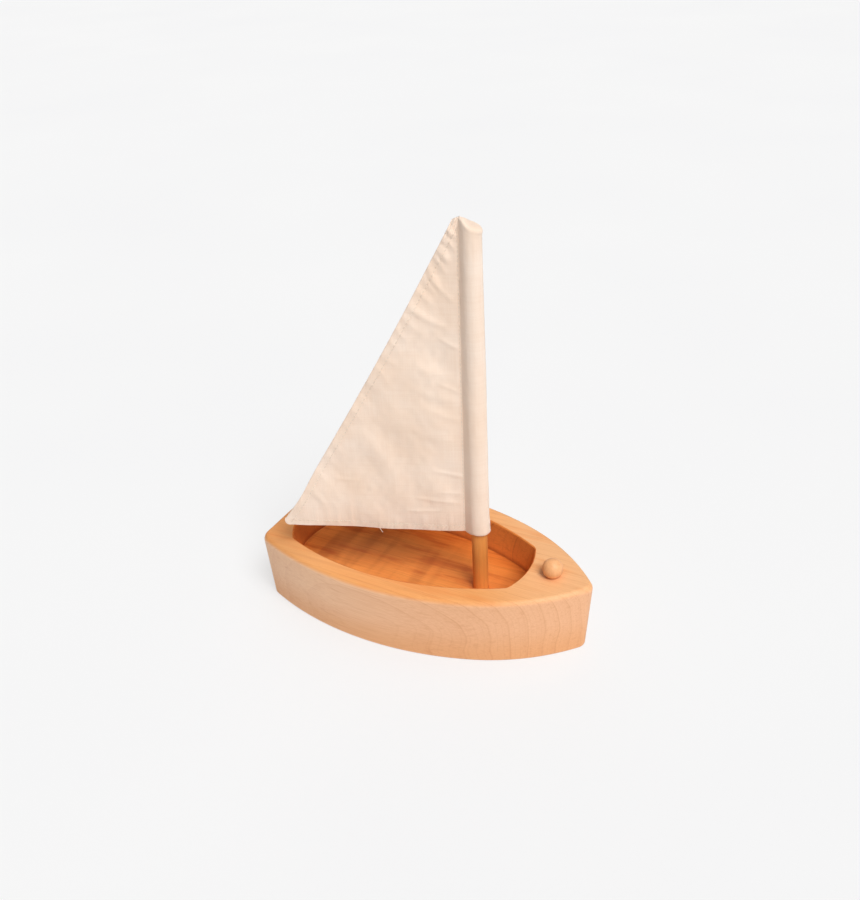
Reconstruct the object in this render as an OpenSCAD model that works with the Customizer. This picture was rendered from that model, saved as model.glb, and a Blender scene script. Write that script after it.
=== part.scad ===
// Toy sailing boat: a routed wooden hull, a dowel mast that plugs into its floor, a turned
// ball peg on the foredeck, and a cotton sail whose sewn sleeve slips over the mast.
// Millimetres, +Z up, +X to the bow, origin under the middle of the hull on its flat bottom.

/* [Hull] */
// Length of the hull at the deck, before its edge is rounded
hull_length = 220; // [200:20:240]
// Width of the hull at its widest station, before the edge is rounded
hull_beam = 116; // [116:4:120]
// Height of the hull from its flat bottom to the deck
hull_height = 48; // [42:3:54]
// Width of the flat stern
transom_width = 74; // [66:2:76]
// Distance from mid-length back to the widest station
widest_aft = 23; // [18:5:23]
// How far the sides and ends lean in between the deck and the bottom
side_flare = 3.2; // [1.2:1:5.2]
// Radius of the softened deck edge
deck_round = 3.5; // [1.5:0.5:4]
// Radius of the softened bottom edge
bottom_round = 1.5; // [1:0.5:1.5]

/* [Cockpit] */
// Width of the rim beside the cockpit
rim_width = 12.5; // [10:0.5:12.5]
// Depth of the cockpit below the deck
cockpit_depth = 24.5; // [18.5:2:26.5]
// Distance from the stem to the front end of the cockpit
foredeck_length = 42.5; // [38.5:2:46.5]
// Distance from the stern to the back end of the cockpit
aftdeck_length = 11.5; // [9.5:2:13.5]
// Radius of the two bowed ends of the cockpit
end_radius = 52; // [50:2:56]
// Radius of the four upright corners of the cockpit
corner_radius = 5; // [3:1:5]

/* [Mast] */
// Diameter of the mast dowel
mast_dia = 10; // [8:2:12]
// Distance from mid-length forward to the mast
mast_forward = 34.3; // [30:4.3:34.3]
// Height of the top of the mast above the bottom of the hull
mast_top = 262; // [240:22:262]
// Depth of the mast socket below the cockpit floor
socket_depth = 14; // [10:4:14]
// Radial clearance of the mast in its socket
socket_gap = 0.05; // [0.05:0.05:0.1]

/* [Bow peg] */
// Diameter of the ball head
ball_dia = 13; // [11:2:15]
// Height of the ball's centre above the deck
ball_rise = 5.5; // [5:0.5:6]
// Distance from the stem back to the peg
peg_inset = 26.3; // [22:4.3:26.3]
// Diameter of the glued stem
stem_dia = 6; // [5:1:6]
// Depth of the stem below the deck
stem_depth = 14; // [8:6:14]

/* [Sail] */
// Angle that the sail is swung to starboard of the centreline
sail_angle = 20; // [0:20:40]
// Distance from the mast axis to the point of the clew
sail_reach = 128; // [128:2:130]
// Height of the foot of the sail
foot_height = 67; // [64:3:67]
// Height of the top of the sail
head_height = 269; // [269:3:272]
// Angle between the foot and the leech
leech_angle = 60; // [59.5:0.5:60.5]
// Radius of the rounded clew
clew_radius = 5; // [3:2:7]
// Distance from the mast axis to the seam behind the sleeve
seam_reach = 9; // [9:2:11]
// Thickness of the plain cloth
cloth = 0.8; // [0.6:0.2:1]
// Gap between the mast and the sleeve
sleeve_gap = 0.5; // [0.5:0.3:0.8]
// Width of the turned-over hems
hem_width = 5; // [5:2:7]

/* [Stitching] */
// Length of one stitch
stitch_length = 2.2; // [1.6:0.6:2.2]
// Distance from one stitch to the next
stitch_pitch = 3; // [3:1:4]
// Diameter of the sewing thread
thread = 0.4; // [0.3:0.1:0.5]

/* [Hidden] */
$fn = 96;
eps = 0.01;

// Plan of the hull: each side is one arc, and both arcs meet near the stem
half_beam = hull_beam / 2;
widest_x = -widest_aft;
stern_run = hull_length / 2 - widest_aft;
stern_drop = half_beam - transom_width / 2;
side_radius = (pow(stern_run, 2) + pow(stern_drop, 2)) / (2 * stern_drop);
side_offset = side_radius - half_beam;

// Cockpit
deck_z = hull_height;
floor_z = hull_height - cockpit_depth;
wall_radius = side_radius - rim_width;
front_x = hull_length / 2 - foredeck_length;
back_x = -hull_length / 2 + aftdeck_length;

// Mast and peg
mast_r = mast_dia / 2;
mast_bottom = floor_z - socket_depth;
peg_x = hull_length / 2 - peg_inset;
stem_r = stem_dia / 2;
stem_gap = 0.05;

// Sail
sleeve_r = mast_r + sleeve_gap;
sleeve_outer = sleeve_r + cloth;
cap_bottom = mast_top + sleeve_gap;
function leech_x(z) = sail_reach - (z - foot_height) / tan(leech_angle);
head_x = leech_x(head_height);
clew_x = sail_reach - clew_radius / tan(leech_angle / 2);
hem_t = cloth;
thread_r = thread / 2;

wood = [0.93, 0.70, 0.50];
oiled_wood = [0.86, 0.58, 0.33];
peg_wood = [0.97, 0.75, 0.54];
canvas = [0.95, 0.87, 0.79];
hem_canvas = [0.97, 0.90, 0.83];
thread_white = [0.98, 0.95, 0.91];

// Half of an upright section: straight side leaning in by the flare, with both edges rounded
module flared_half(reach) {
    lean = atan(side_flare / hull_height);
    top_x = reach - side_flare * deck_round / hull_height - deck_round / cos(lean);
    low_x = reach - side_flare * (1 - bottom_round / hull_height) - bottom_round / cos(lean);
    top_z = hull_height - deck_round;
    polygon([
        [0, 0],
        [low_x, 0],
        [low_x + bottom_round * cos(lean), bottom_round * (1 - sin(lean))],
        [top_x + deck_round * cos(lean), top_z - deck_round * sin(lean)],
        [top_x, hull_height],
        [0, hull_height]
    ]);
    translate([top_x, top_z]) circle(deck_round);
    translate([low_x, bottom_round]) circle(bottom_round);
}

// A side of the hull, as the turned body that its arc belongs to
module side_body(side) {
    translate([widest_x, -side * side_offset, 0]) rotate_extrude($fn = 360) flared_half(side_radius);
}

// Bow and stern ends, as one section swept across the hull
module end_body() {
    rotate([90, 0, 0]) linear_extrude(height = 2 * hull_beam, center = true) {
        flared_half(hull_length / 2);
        mirror([1, 0]) flared_half(hull_length / 2);
    }
}

// Centre of the rounding between a side wall and the end wall whose arc is centred at end_x.
// It is corner_radius inside both arcs, so it is where two smaller circles cross.
function corner_centre(end_x, way) =
    let (
        a = wall_radius - corner_radius,
        b = end_radius - corner_radius,
        dx = end_x - widest_x,
        span = norm([dx, side_offset]),
        along = (pow(a, 2) - pow(b, 2) + pow(span, 2)) / (2 * span),
        across = sqrt(pow(a, 2) - pow(along, 2)),
        u = [dx, side_offset] / span
    )
    [widest_x, -side_offset] + along * u + across * way * [u[1], -u[0]];

// Cut across one sharp corner, through the points where its rounding meets both walls
module corner_cut(end_x, way, height) {
    c = corner_centre(end_x, way);
    on_side = [widest_x, -side_offset]
        + (c - [widest_x, -side_offset]) * wall_radius / (wall_radius - corner_radius);
    on_end = [end_x, 0] + (c - [end_x, 0]) * end_radius / (end_radius - corner_radius);
    chord = on_end - on_side;
    away = (on_side + on_end) / 2 - c;
    turn = atan2(away[1], away[0]);
    translate([(on_side + on_end)[0] / 2, (on_side + on_end)[1] / 2, 0])
        rotate([0, 0, turn])
            translate([0, -norm(chord), -eps]) cube([20, 2 * norm(chord), height + 2 * eps]);
}

// Upright body whose arc makes one side wall of the cockpit
module side_wall(side, height) {
    translate([widest_x, -side * side_offset, 0]) cylinder(r = wall_radius, h = height, $fn = 360);
}

// The routed cockpit: two side arcs, two bowed ends and four rounded corners
module cockpit() {
    height = cockpit_depth + 1;
    front_end = front_x - end_radius;
    back_end = back_x + end_radius;
    ends = [[front_end, 1], [back_end, -1]];
    translate([0, 0, floor_z]) {
        difference() {
            intersection() {
                side_wall(1, height);
                side_wall(-1, height);
                union() {
                    for (end = ends)
                        translate([end[0], 0, 0]) cylinder(r = end_radius, h = height, $fn = 180);
                    translate([back_end, -end_radius, 0])
                        cube([front_end - back_end, 2 * end_radius, height]);
                }
            }
            for (end = ends) for (flip = [0, 1])
                mirror([0, flip, 0]) corner_cut(end[0], end[1], height);
        }
        for (end = ends) for (flip = [0, 1]) mirror([0, flip, 0])
            translate(corner_centre(end[0], end[1])) cylinder(r = corner_radius, h = height);
    }
}

// One block of wood with the cockpit, the mast socket and the hole for the peg
module hull() {
    color(wood) difference() {
        intersection() {
            side_body(1);
            side_body(-1);
            end_body();
        }
        cockpit();
        translate([mast_forward, 0, mast_bottom])
            cylinder(r = mast_r + socket_gap, h = socket_depth + 1);
        translate([peg_x, 0, deck_z - stem_depth - 1])
            cylinder(r = stem_r + stem_gap, h = stem_depth + 2);
    }
}

// Plain dowel with a small chamfer on both ends
module mast() {
    chamfer = 0.8;
    color(oiled_wood) translate([mast_forward, 0, mast_bottom]) {
        cylinder(r1 = mast_r - chamfer, r2 = mast_r, h = chamfer);
        translate([0, 0, chamfer]) cylinder(r = mast_r, h = mast_top - mast_bottom - 2 * chamfer);
        translate([0, 0, mast_top - mast_bottom - chamfer])
            cylinder(r1 = mast_r, r2 = mast_r - chamfer, h = chamfer);
    }
}

// Ball head cut flat where it sits on the deck, and its glued stem, turned as one piece
module bow_peg() {
    color(peg_wood) translate([peg_x, 0, deck_z]) rotate_extrude() {
        intersection() {
            translate([0, ball_rise]) circle(ball_dia / 2);
            square([ball_dia, 2 * ball_dia]);
        }
        translate([0, -stem_depth]) square([stem_r, stem_depth + 1]);
    }
}

// Puts a part of the sail in place: its +X runs from the mast to the clew and its -Y faces port
module on_mast() {
    translate([mast_forward, 0, 0]) rotate([0, 0, 180 + sail_angle]) children();
}

// A flat piece of cloth standing in the plane of the sail, from the layer at y = low
module upright(low, thick) {
    translate([0, low + thick, 0]) rotate([90, 0, 0]) linear_extrude(height = thick) children();
}

// The single layer of cloth between the sleeve seam and the leech, with its clew rounded
module sail_panel() {
    color(canvas) on_mast() upright(-cloth / 2, cloth) {
        polygon([
            [seam_reach, foot_height],
            [clew_x, foot_height],
            [
                clew_x + clew_radius * sin(leech_angle),
                foot_height + clew_radius * (1 + cos(leech_angle))
            ],
            [head_x, head_height],
            [seam_reach, head_height]
        ]);
        translate([clew_x, foot_height + clew_radius]) circle(clew_radius);
    }
}

// A length of sleeve: round at the mast, drawn in to the seam behind it
module sleeve_body(length) {
    tail_run = norm([seam_reach, cloth]);
    touch = atan2(cloth, seam_reach) + acos(sleeve_outer / tail_run);
    inside = 0.97 * sleeve_outer;
    cylinder(r = sleeve_outer, h = length);
    linear_extrude(height = length) polygon([
        inside * [cos(touch), sin(touch)],
        [seam_reach, cloth],
        [seam_reach, -cloth],
        inside * [cos(touch), -sin(touch)]
    ]);
}

// The sleeve that slips over the mast, open at the foot
module sail_sleeve() {
    length = cap_bottom - foot_height;
    color(hem_canvas) on_mast() translate([0, 0, foot_height]) difference() {
        sleeve_body(length);
        translate([0, 0, -1]) cylinder(r = sleeve_r, h = length + 2);
    }
}

// The folded and sewn end that closes the sleeve and keeps the sail up on the mast
module sail_head() {
    color(hem_canvas) on_mast() translate([0, 0, cap_bottom]) sleeve_body(head_height - cap_bottom);
}

// Cloth turned over along the leech, on the port face
module leech_hem() {
    inward = hem_width / sin(leech_angle);
    low_z = foot_height + clew_radius * (1 + cos(leech_angle));
    meet_z = foot_height + (sail_reach - inward - seam_reach) * tan(leech_angle);
    color(hem_canvas) on_mast() upright(-cloth / 2 - hem_t, hem_t) polygon([
        [leech_x(low_z) - inward, low_z],
        [leech_x(low_z), low_z],
        [head_x, head_height],
        [seam_reach, head_height],
        [seam_reach, meet_z]
    ]);
}

// Cloth turned over along the foot, on the port face
module foot_hem() {
    color(hem_canvas) on_mast() upright(-cloth / 2 - hem_t, hem_t)
        translate([seam_reach, foot_height])
            square([clew_x - seam_reach, hem_width]);
}

// A straight row of stitches from one point of the sail to another, on the face at y = face_y
module stitch_row(from, to, face_y) {
    run = to - from;
    count = floor(norm(run) / stitch_pitch);
    lie = face_y + sign(face_y) * thread_r;
    for (i = [0 : count - 1])
        translate([from[0], lie, from[1]] + [run[0], 0, run[1]] * i / count)
            rotate([0, atan2(run[0], run[1]), 0]) cylinder(d = thread, h = stitch_length, $fn = 16);
}

// Stitches that hold the sleeve closed, seen on both faces of the panel
module sleeve_stitching() {
    x = seam_reach + 1;
    low = [x, foot_height + hem_width + 1];
    high = [x, head_height - 2 * hem_width - 3];
    color(thread_white) on_mast() {
        stitch_row(low, high, cloth / 2);
        stitch_row(low, high, -cloth / 2);
    }
}

// Stitches along the middle of the leech hem
module leech_stitching() {
    inward = 0.65 * hem_width / sin(leech_angle);
    low_z = foot_height + 2 * hem_width;
    high_z = head_height - 1.4 * hem_width;
    low = [leech_x(low_z) - inward, low_z];
    high = [leech_x(high_z) - inward, high_z];
    color(thread_white) on_mast() {
        stitch_row(low, high, cloth / 2);
        stitch_row(low, high, -cloth / 2 - hem_t);
    }
}

// Stitches along the foot hem
module foot_stitching() {
    z = foot_height + 0.65 * hem_width;
    near_mast = [seam_reach + 1, z];
    near_clew = [clew_x - 1, z];
    color(thread_white) on_mast() {
        stitch_row(near_mast, near_clew, cloth / 2);
        stitch_row(near_mast, near_clew, -cloth / 2 - hem_t);
    }
}

hull();
mast();
bow_peg();
sail_panel();
sail_sleeve();
sail_head();
leech_hem();
foot_hem();
sleeve_stitching();
leech_stitching();
foot_stitching();
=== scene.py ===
"""Toy sailing boat: a routed wooden hull, a dowel mast, a ball peg and a canvas sail.

Metres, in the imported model's frame: +Z up, +X to the bow, origin under the middle of the hull.
"""

import math

import bmesh
import bpy
import numpy as np
from mathutils import Matrix, Vector


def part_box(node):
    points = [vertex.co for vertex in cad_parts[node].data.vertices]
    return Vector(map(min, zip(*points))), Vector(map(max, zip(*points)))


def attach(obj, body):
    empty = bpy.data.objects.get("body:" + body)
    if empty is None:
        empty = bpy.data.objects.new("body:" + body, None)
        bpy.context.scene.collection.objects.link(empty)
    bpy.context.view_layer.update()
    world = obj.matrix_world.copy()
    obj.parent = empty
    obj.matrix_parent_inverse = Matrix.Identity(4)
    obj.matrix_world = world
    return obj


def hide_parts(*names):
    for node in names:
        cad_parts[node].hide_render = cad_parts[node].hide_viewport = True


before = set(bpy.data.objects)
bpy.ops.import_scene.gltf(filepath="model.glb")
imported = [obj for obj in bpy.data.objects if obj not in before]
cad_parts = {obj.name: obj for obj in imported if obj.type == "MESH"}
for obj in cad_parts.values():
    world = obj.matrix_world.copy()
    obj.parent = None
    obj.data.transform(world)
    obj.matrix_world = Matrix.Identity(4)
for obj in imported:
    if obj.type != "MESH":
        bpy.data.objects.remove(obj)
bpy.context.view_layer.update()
MM = 0.001

# Places and sizes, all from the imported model
hull_low, hull_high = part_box("hull")
mast_low, mast_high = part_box("mast")
peg_low, peg_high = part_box("bow_peg")
panel_low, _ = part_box("sail_panel")
HULL_LENGTH = hull_high.x - hull_low.x
HALF_BEAM = (hull_high.y - hull_low.y) / 2
DECK = hull_high.z
MAST_X = (mast_low.x + mast_high.x) / 2
MAST_R = (mast_high.x - mast_low.x) / 2
MAST_TOP = mast_high.z
PEG_X = (peg_low.x + peg_high.x) / 2
BALL_R = (peg_high.x - peg_low.x) / 2


def linked(name, data):
    """A new object in the scene."""
    made = bpy.data.objects.new(name, data)
    bpy.context.scene.collection.objects.link(made)
    return made


def object_from(name, points, faces):
    """A linked mesh object made from plain points and faces."""
    mesh = bpy.data.meshes.new(name)
    mesh.from_pydata([tuple(p) for p in points], [], [tuple(f) for f in faces])
    mesh.validate()
    made = linked(name, mesh)
    mesh.polygons.foreach_set("use_smooth", [True] * len(mesh.polygons))
    return made


def grid_faces(rows, columns, closed=False, first=0):
    """Quads over a grid of rows x columns points; closed joins the last column to the first."""
    span = columns if closed else columns - 1
    faces = []
    for r in range(rows - 1):
        for c in range(span):
            a = first + r * columns + c
            b = first + r * columns + (c + 1) % columns
            faces.append((a, b, b + columns, a + columns))
    return faces


def closed_tube(rows, columns):
    """Faces of a tube over rows of points, with both its ends filled."""
    last = range((rows - 1) * columns, rows * columns)
    return grid_faces(rows, columns, closed=True) + [tuple(range(columns))[::-1], tuple(last)]


def set_uv(made, uv):
    """A UV map from a (u, v) pair for each vertex."""
    layer = made.data.uv_layers.new(name="UVMap")
    corners = np.zeros(len(made.data.loops), np.int32)
    made.data.loops.foreach_get("vertex_index", corners)
    layer.data.foreach_set("uv", uv[corners].astype(np.float32).ravel())


# ---- materials


class Graph:
    """A material's nodes, with short calls to add them and join them."""

    def __init__(self, name):
        self.material = bpy.data.materials.new(name)
        self.material.use_nodes = True
        self.tree = self.material.node_tree
        self.tree.nodes.clear()
        self.output = self.tree.nodes.new("ShaderNodeOutputMaterial")
        self.shader = self.tree.nodes.new("ShaderNodeBsdfPrincipled")
        self.tree.links.new(self.shader.outputs[0], self.output.inputs[0])

    def add(self, kind, inputs=None, **settings):
        """A node with its settings made and its inputs set or linked; returns the node."""
        node = self.tree.nodes.new("ShaderNode" + kind)
        for key, value in settings.items():
            setattr(node, key, value)
        for key, value in (inputs or {}).items():
            self.feed(node.inputs[key], value)
        return node

    def feed(self, socket, value):
        if isinstance(value, bpy.types.Node):
            value = value.outputs[0]
        if isinstance(value, bpy.types.NodeSocket):
            self.tree.links.new(value, socket)
        else:
            socket.default_value = value

    def math(self, operation, a, b=0.0):
        return self.add("Math", {0: a, 1: b}, operation=operation)

    def times(self, a, b):
        return self.math("MULTIPLY", a, b)

    def plus(self, a, b):
        return self.math("ADD", a, b)

    def place(self, scale, offset=(0, 0, 0), source="Object", turn=(0, 0, 0)):
        coords = self.add("TexCoord")
        return self.add(
            "Mapping",
            {"Vector": coords.outputs[source], "Scale": scale, "Location": offset, "Rotation": turn},
        )

    def noise(self, vector, detail=3.0, roughness=0.5):
        inputs = {"Vector": vector, "Scale": 1.0, "Detail": detail, "Roughness": roughness}
        return self.add("TexNoise", inputs)

    def spread(self, value, low, high, to_low=0.0, to_high=1.0, kind="LINEAR"):
        """Value taken from low..high to to_low..to_high, and clamped."""
        inputs = {"Value": value, 1: low, 2: high, 3: to_low, 4: to_high}
        return self.add("MapRange", inputs, interpolation_type=kind)

    def step(self, value, low, high, to_low=0.0, to_high=1.0):
        """The same, by a soft step."""
        return self.spread(value, low, high, to_low, to_high, "SMOOTHSTEP")

    def mix(self, factor, a, b):
        node = self.add("Mix", {0: factor}, data_type="RGBA")
        self.feed(node.inputs[6], a)
        self.feed(node.inputs[7], b)
        return node.outputs[2]

    def bump(self, height, strength, distance, normal=None):
        inputs = {"Height": height, "Strength": strength, "Distance": distance}
        if normal is not None:
            inputs["Normal"] = normal
        return self.add("Bump", inputs)

    def finish(self, **sockets):
        for key, value in sockets.items():
            self.feed(self.shader.inputs[key.replace("_", " ")], value)
        return self.material


def rgb(red, green, blue):
    """A colour given as it looks on screen, 0 to 255."""

    def linear(shown):
        return ((shown / 255 + 0.055) / 1.055) ** 2.4 if shown > 10 else shown / 3295

    return linear(red), linear(green), linear(blue), 1.0


def wood(name, pale, deep, line, fibre="X", ring_gap=5.6 * MM, pith=(0.0, -0.22, -0.008), **kinds):
    """Close-grained wood. pale and deep are its ground, line its growth lines and pores.

    fibre is the way the grain runs, and pith a point on the tree's middle, which runs the same way.
    kinds: side is the ground of upright faces, aft and forward, lighter than the deck or floor: painted
    light, and on the hull partly the side grain's own paler tone; bow and stern that of the deck's two ends,
    the darker stern a painted shadow of the sail on the aft deck; low that of an upright face's foot, from
    one height to another, in the cockpit painted shade where the walls meet the floor; streak the darker
    streaks, by how many there are in a metre; bands how dark the cutter's marks are.
    """
    g = Graph(name)
    along = {"X": 0, "Y": 1, "Z": 2}[fibre]

    def stretched(low, high):
        scale = [high, high, high]
        scale[along] = low
        return tuple(scale)

    wander = g.noise(g.place(stretched(7, 10)), detail=1.0)
    coords = g.add("TexCoord")
    spot = g.add("SeparateXYZ", {0: coords.outputs["Object"]})
    shift = g.add("VectorMath", {0: wander.outputs[1], 1: (0.5, 0.5, 0.5)}, operation="SUBTRACT")
    shift = g.add("VectorMath", {0: shift, "Scale": 0.010}, operation="SCALE")
    bent = g.add("VectorMath", {0: coords.outputs["Object"], 1: shift}, operation="ADD")
    local = g.add("VectorMath", {0: bent, 1: pith}, operation="SUBTRACT")
    flat = [1.0, 1.0, 1.0]
    flat[along] = 0.05
    local = g.add("VectorMath", {0: local, 1: tuple(flat)}, operation="MULTIPLY")
    radius = g.add("VectorMath", {0: local}, operation="LENGTH")
    turns = g.math("DIVIDE", radius.outputs["Value"], ring_gap)
    uneven = g.noise(g.place(stretched(3, 36)), detail=1.0)
    turns = g.plus(turns, g.times(uneven, 1.1))
    phase = g.math("FRACT", turns)
    rise = g.math("POWER", phase, 2.5)
    late = g.step(phase, 0.92, 0.965, 0, 1)
    late = g.math("SUBTRACT", late, g.step(phase, 0.965, 1.0, 0, 1))

    strands = g.noise(g.place(stretched(30, 1100)), detail=5.0, roughness=0.6)
    fine = g.noise(g.place(stretched(45, 2600)), detail=2.0)
    hairs = g.noise(g.place(stretched(11, 430), offset=(1, 5, 2)), detail=1.0)
    broad = g.noise(g.place(stretched(8, 40)), detail=3.0)
    dashes = g.noise(g.place(stretched(190, 1700)), detail=1.0)
    pores = g.spread(dashes, 0.66, 0.74)
    patch = g.noise(g.place(stretched(16, 34), offset=(3, 1, 2)), detail=2.0)
    facing = g.add("SeparateXYZ", {0: g.add("NewGeometry").outputs["Normal"]}).outputs[2]
    upright = g.step(g.math("ABSOLUTE", facing), 0.15, 0.80, 1, 0)
    forward = g.step(spot.outputs[0], -0.07, 0.05)

    ground = g.mix(g.spread(broad, 0.3, 0.7), pale, deep)
    if "bow" in kinds:
        paler = g.plus(spot.outputs[0], g.times(spot.outputs[1], 0.6))
        ground = g.mix(g.step(paler, 0.02, 0.09, 0, 0.85), ground, kinds["bow"])
    # The aft deck darker: a painted shadow of the sail.
    if "stern" in kinds:
        ground = g.mix(g.step(spot.outputs[0], -0.106, -0.055, 0.6, 0), ground, kinds["stern"])
    if "streak" in kinds:
        across, colour, share = kinds["streak"]
        streaks = g.noise(g.place(stretched(across / 6, across), offset=(2, 0, 7)), detail=3.0)
        ground = g.mix(g.step(streaks, 0.48, 0.66, 0, share), ground, colour)
    # Upright faces get a lighter ground: painted light, on the hull partly also the side grain's own paler
    # tone.
    if "side" in kinds:
        aft, fore = kinds["side"]
        side_tone_and_light = g.mix(g.times(g.spread(broad, 0.3, 0.7), 0.35), g.mix(forward, aft, fore), fore)
        ground = g.mix(upright, ground, side_tone_and_light)
    # Darker towards an upright face's foot; in the cockpit this is painted shade where the walls meet the
    # floor.
    if "low" in kinds:
        bottom, top, colour, share = kinds["low"]
        foot = g.times(upright, g.step(spot.outputs[2], bottom, top, share, 0))
        ground = g.mix(foot, ground, colour)
    amount = g.spread(patch, 0.38, 0.62, 0.03, 0.22)
    fainter = g.times(upright, g.math("SUBTRACT", 1.0, forward))
    amount = g.times(amount, g.spread(fainter, 0, 1, 1, 0.25))
    ground = g.mix(g.times(rise, 0.07), ground, line)
    ground = g.mix(g.times(late, amount), ground, line)
    close = g.math("FRACT", g.times(turns, 3.3))
    close = g.step(close, 0.80, 1.0, 0, 0.10)
    close = g.times(close, g.times(upright, forward))
    ground = g.mix(close, ground, line)
    ground = g.mix(g.spread(strands, 0.40, 0.75, 0, 0.16), ground, line)
    ground = g.mix(g.step(hairs, 0.58, 0.74, 0, 0.12), ground, line)
    marks = g.noise(g.place(stretched(26, 240), offset=(3, 8, 1), turn=(0, math.radians(9), 0)), detail=1.0)
    marks = g.step(marks, 0.73, 0.79, 0, 0.24)
    ground = g.mix(g.times(marks, fainter), ground, line)
    ground = g.mix(g.spread(fine, 0.45, 0.75, 0, 0.12), ground, line)
    ground = g.mix(g.times(pores, g.spread(upright, 0, 1, 0.22, 0.07)), ground, line)
    if "bands" in kinds:
        wave = g.noise(g.place((92, 13, 20), turn=(0, 0, math.radians(-16)), offset=(7, 3, 0)), detail=1.5)
        wave = g.step(wave, 0.40, 0.68, 0, kinds["bands"])
        aftward = g.step(spot.outputs[0], -0.03, 0.03, 1, 0.2)
        ground = g.mix(g.times(wave, aftward), ground, line)
    relief = g.plus(g.times(strands, 0.5), g.times(pores, -0.8))
    relief = g.plus(relief, g.times(late, 0.10))
    sanded = g.noise(g.place((55, 55, 55)), detail=2.0)
    normal = g.bump(sanded, 0.18, 0.4 * MM)
    normal = g.bump(relief, 0.30, 0.08 * MM, normal)
    rough = g.spread(strands, 0.3, 0.7, 0.42, 0.58)
    return g.finish(Base_Color=ground, Roughness=rough, Normal=normal, Specular_IOR_Level=0.35)


THREAD_GAP = 0.62 * MM  # between neighbouring threads of the canvas


def canvas(name):
    """Unbleached plain-weave cotton canvas. Its UVs run along the threads, in metres."""
    g = Graph(name)
    per = math.pi / THREAD_GAP
    coords = g.add("TexCoord")
    wavy = g.noise(g.place((180, 180, 180), source="UV"), detail=1.0)
    wavy = g.add("VectorMath", {0: wavy.outputs[1], "Scale": 0.16 * MM}, operation="SCALE")
    along = g.add("VectorMath", {0: coords.outputs["UV"], 1: wavy}, operation="ADD")
    uv = g.add("SeparateXYZ", {0: along})
    across = g.math("SINE", g.times(uv.outputs[0], per))
    up = g.math("SINE", g.times(uv.outputs[1], per))
    warp = g.math("ABSOLUTE", across)
    weft = g.math("ABSOLUTE", up)
    over = g.math("GREATER_THAN", g.times(across, up), 0.0)
    under = g.times(weft, g.math("SUBTRACT", 1.0, over))
    crown = g.plus(g.times(warp, over), under)
    slub_up = g.noise(g.place((1500, 35, 1), source="UV"), detail=2.0)
    slub_across = g.noise(g.place((35, 1500, 1), source="UV"), detail=2.0)
    slubs = g.plus(slub_up, slub_across)
    cloudy = g.noise(g.place((38, 38, 38)), detail=3.0)
    fleck = g.add("TexVoronoi", {"Vector": g.place((95, 60, 1), source="UV"), "Scale": 1.0}, feature="F1")
    seed = g.add("SeparateColor", {0: fleck.outputs["Color"]})
    rare = g.math("GREATER_THAN", seed.outputs[0], 0.972)
    dot = g.times(g.spread(fleck.outputs["Distance"], 0.03, 0.07, 1, 0), rare)

    ground = g.mix(g.spread(cloudy, 0.3, 0.7), rgb(254, 235, 218), rgb(251, 226, 204))
    ground = g.mix(g.spread(slubs, 0.8, 1.35, 0, 0.20), ground, rgb(230, 194, 164))
    # Darker between the threads, where the crowns dip: painted shade in the weave's hollows.
    ground = g.mix(g.spread(crown, 0.0, 0.8, 0.20, 0), ground, rgb(208, 160, 126))
    ground = g.mix(g.times(dot, 0.75), ground, rgb(120, 92, 70))
    relief = g.plus(crown, g.times(slubs, 0.8))
    normal = g.bump(relief, 0.55, 0.12 * MM)
    return g.finish(
        Base_Color=ground,
        Roughness=0.92,
        Normal=normal,
        Sheen_Weight=0.25,
        Sheen_Roughness=0.5,
        Specular_IOR_Level=0.15,
    )


def cotton_thread(name):
    """Twisted sewing thread, with a fine diagonal ply."""
    g = Graph(name)
    lay = g.place((1, 1, 1), turn=(0.6, 0.5, 0.7))
    ply = g.add("TexWave", {"Vector": lay, "Scale": 900.0, "Distortion": 1.5})
    fuzz = g.noise(g.place((2500, 2500, 2500)), detail=1.0)
    ground = g.mix(ply.outputs[1], rgb(250, 235, 220), rgb(226, 204, 182))
    ground = g.mix(g.spread(fuzz, 0.4, 0.7, 0, 0.3), ground, rgb(205, 178, 150))
    normal = g.bump(ply.outputs[1], 0.5, 0.05 * MM)
    return g.finish(
        Base_Color=ground, Roughness=0.85, Normal=normal, Sheen_Weight=0.3, Specular_IOR_Level=0.2
    )


COCKPIT_DEPTH = 24.5 * MM
FLOOR_Z = DECK - COCKPIT_DEPTH
OUTSIDE = wood(
    "hull_wood",
    rgb(242, 176, 112),
    rgb(236, 162, 95),
    rgb(188, 100, 46),
    # side: hull sides paler and pinker than the deck, and paler aft than forward: partly the side grain's
    # own tone, partly painted light and painted reflection of the white surroundings.
    side=(rgb(252, 206, 166), rgb(242, 186, 142)),
    bow=rgb(243, 188, 136),
    # stern: painted shadow of the sail on the aft deck.
    stern=rgb(214, 146, 86),
    low=(0.002, 0.030, rgb(234, 166, 108), 0.70),
    streak=(95, rgb(236, 146, 74), 0.45),
)
# The cockpit's routed wood, a darker and more orange copy of the hull's: partly oil soaked deeper into the
# routed faces, partly painted shade and painted warm bounce light inside the cockpit.
ROUTED = wood(
    "cockpit_wood",
    rgb(242, 152, 72),
    rgb(226, 124, 50),
    rgb(140, 50, 12),
    ring_gap=9 * MM,
    # side: cockpit walls lighter than the cockpit floor, painted light.
    side=(rgb(240, 148, 74), rgb(250, 168, 88)),
    # low: painted shade at the foot of the cockpit walls, where they meet the floor.
    low=(FLOOR_Z, FLOOR_Z + 5 * MM, rgb(150, 56, 16), 0.55),
    streak=(150, rgb(196, 84, 26), 0.55),
    bands=0.34,
)
DOWEL = wood(
    "mast_wood",
    rgb(247, 176, 98),
    rgb(238, 156, 78),
    rgb(176, 84, 30),
    fibre="Z",
    ring_gap=2.4 * MM,
    pith=(MAST_X + 0.03, 0.02, 0),
)
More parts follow.
